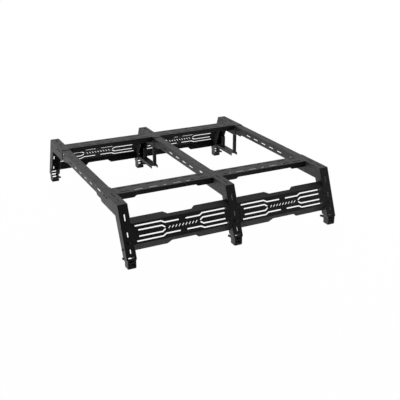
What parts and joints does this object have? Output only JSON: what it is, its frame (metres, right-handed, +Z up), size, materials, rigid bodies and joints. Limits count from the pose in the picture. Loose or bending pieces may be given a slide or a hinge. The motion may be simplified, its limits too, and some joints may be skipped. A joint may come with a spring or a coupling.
{
  "type": "pickup bed ladder rack",
  "caption": "Low truck bed rack with leaning channel legs, telescoping crossbars, slotted rails and slotted side panels, for carrying ladders, tents and gear above the bed.",
  "frame": {"origin": "centre of the rack's footprint, on the plane under its feet", "axes": "+X along the truck towards its tail, +Y across it to its right-hand side, +Z up"},
  "size_m": [1.4736, 1.6556, 0.358],
  "materials": {
    "powder_coat": "fine-textured satin black powder coat",
    "black_bolt": "black oxide",
    "zinc_bolt": "black zinc plating",
    "rubber": "moulded matt rubber"
  },
  "bodies": {
    "crossbars": {"crossbar_front": "powder_coat", "crossbar_middle": "powder_coat", "crossbar_rear": "powder_coat"},
    "left_side": {"foot_front_left": "powder_coat", "foot_middle_left": "powder_coat", "foot_pad_front_left": "rubber", "foot_pad_middle_left": "rubber", "foot_pad_rear_left": "rubber", "foot_rear_left": "powder_coat", "left_clamp_bolts": "black_bolt", "left_clamp_nuts": "zinc_bolt", "left_clamp_washers": "zinc_bolt", "left_ear_bolts": "zinc_bolt", "left_ear_nuts": "zinc_bolt", "left_foot_bolts": "zinc_bolt", "left_foot_nuts": "zinc_bolt", "left_panel_bolts": "zinc_bolt", "left_panel_nuts": "zinc_bolt", "left_web_bolts": "black_bolt", "left_web_nuts": "zinc_bolt", "panel_front_left": "powder_coat", "panel_rear_left": "powder_coat", "rail_front_left": "powder_coat", "rail_rear_left": "powder_coat", "upright_front_left": "powder_coat", "upright_middle_left": "powder_coat", "upright_rear_left": "powder_coat"},
    "right_side": {"foot_front_right": "powder_coat", "foot_middle_right": "powder_coat", "foot_pad_front_right": "rubber", "foot_pad_middle_right": "rubber", "foot_pad_rear_right": "rubber", "foot_rear_right": "powder_coat", "hanger_middle": "powder_coat", "hanger_rear": "powder_coat", "panel_front_right": "powder_coat", "panel_rear_right": "powder_coat", "rail_front_right": "powder_coat", "rail_rear_right": "powder_coat", "right_clamp_bolts": "black_bolt", "right_clamp_nuts": "zinc_bolt", "right_clamp_washers": "zinc_bolt", "right_ear_bolts": "zinc_bolt", "right_ear_nuts": "zinc_bolt", "right_foot_bolts": "zinc_bolt", "right_foot_nuts": "zinc_bolt", "right_panel_bolts": "zinc_bolt", "right_panel_nuts": "zinc_bolt", "right_web_bolts": "black_bolt", "right_web_nuts": "zinc_bolt", "upright_front_right": "powder_coat", "upright_middle_right": "powder_coat", "upright_rear_right": "powder_coat"}
  },
  "joints": [
    {"name": "left_side_slide", "type": "slide", "parent": "crossbars", "child": "left_side", "axis": [0, -1, 0], "range_m": [-0.06, 0.06]},
    {"name": "right_side_slide", "type": "slide", "parent": "crossbars", "child": "right_side", "axis": [0, 1, 0], "range_m": [-0.06, 0.06]}
  ]
}
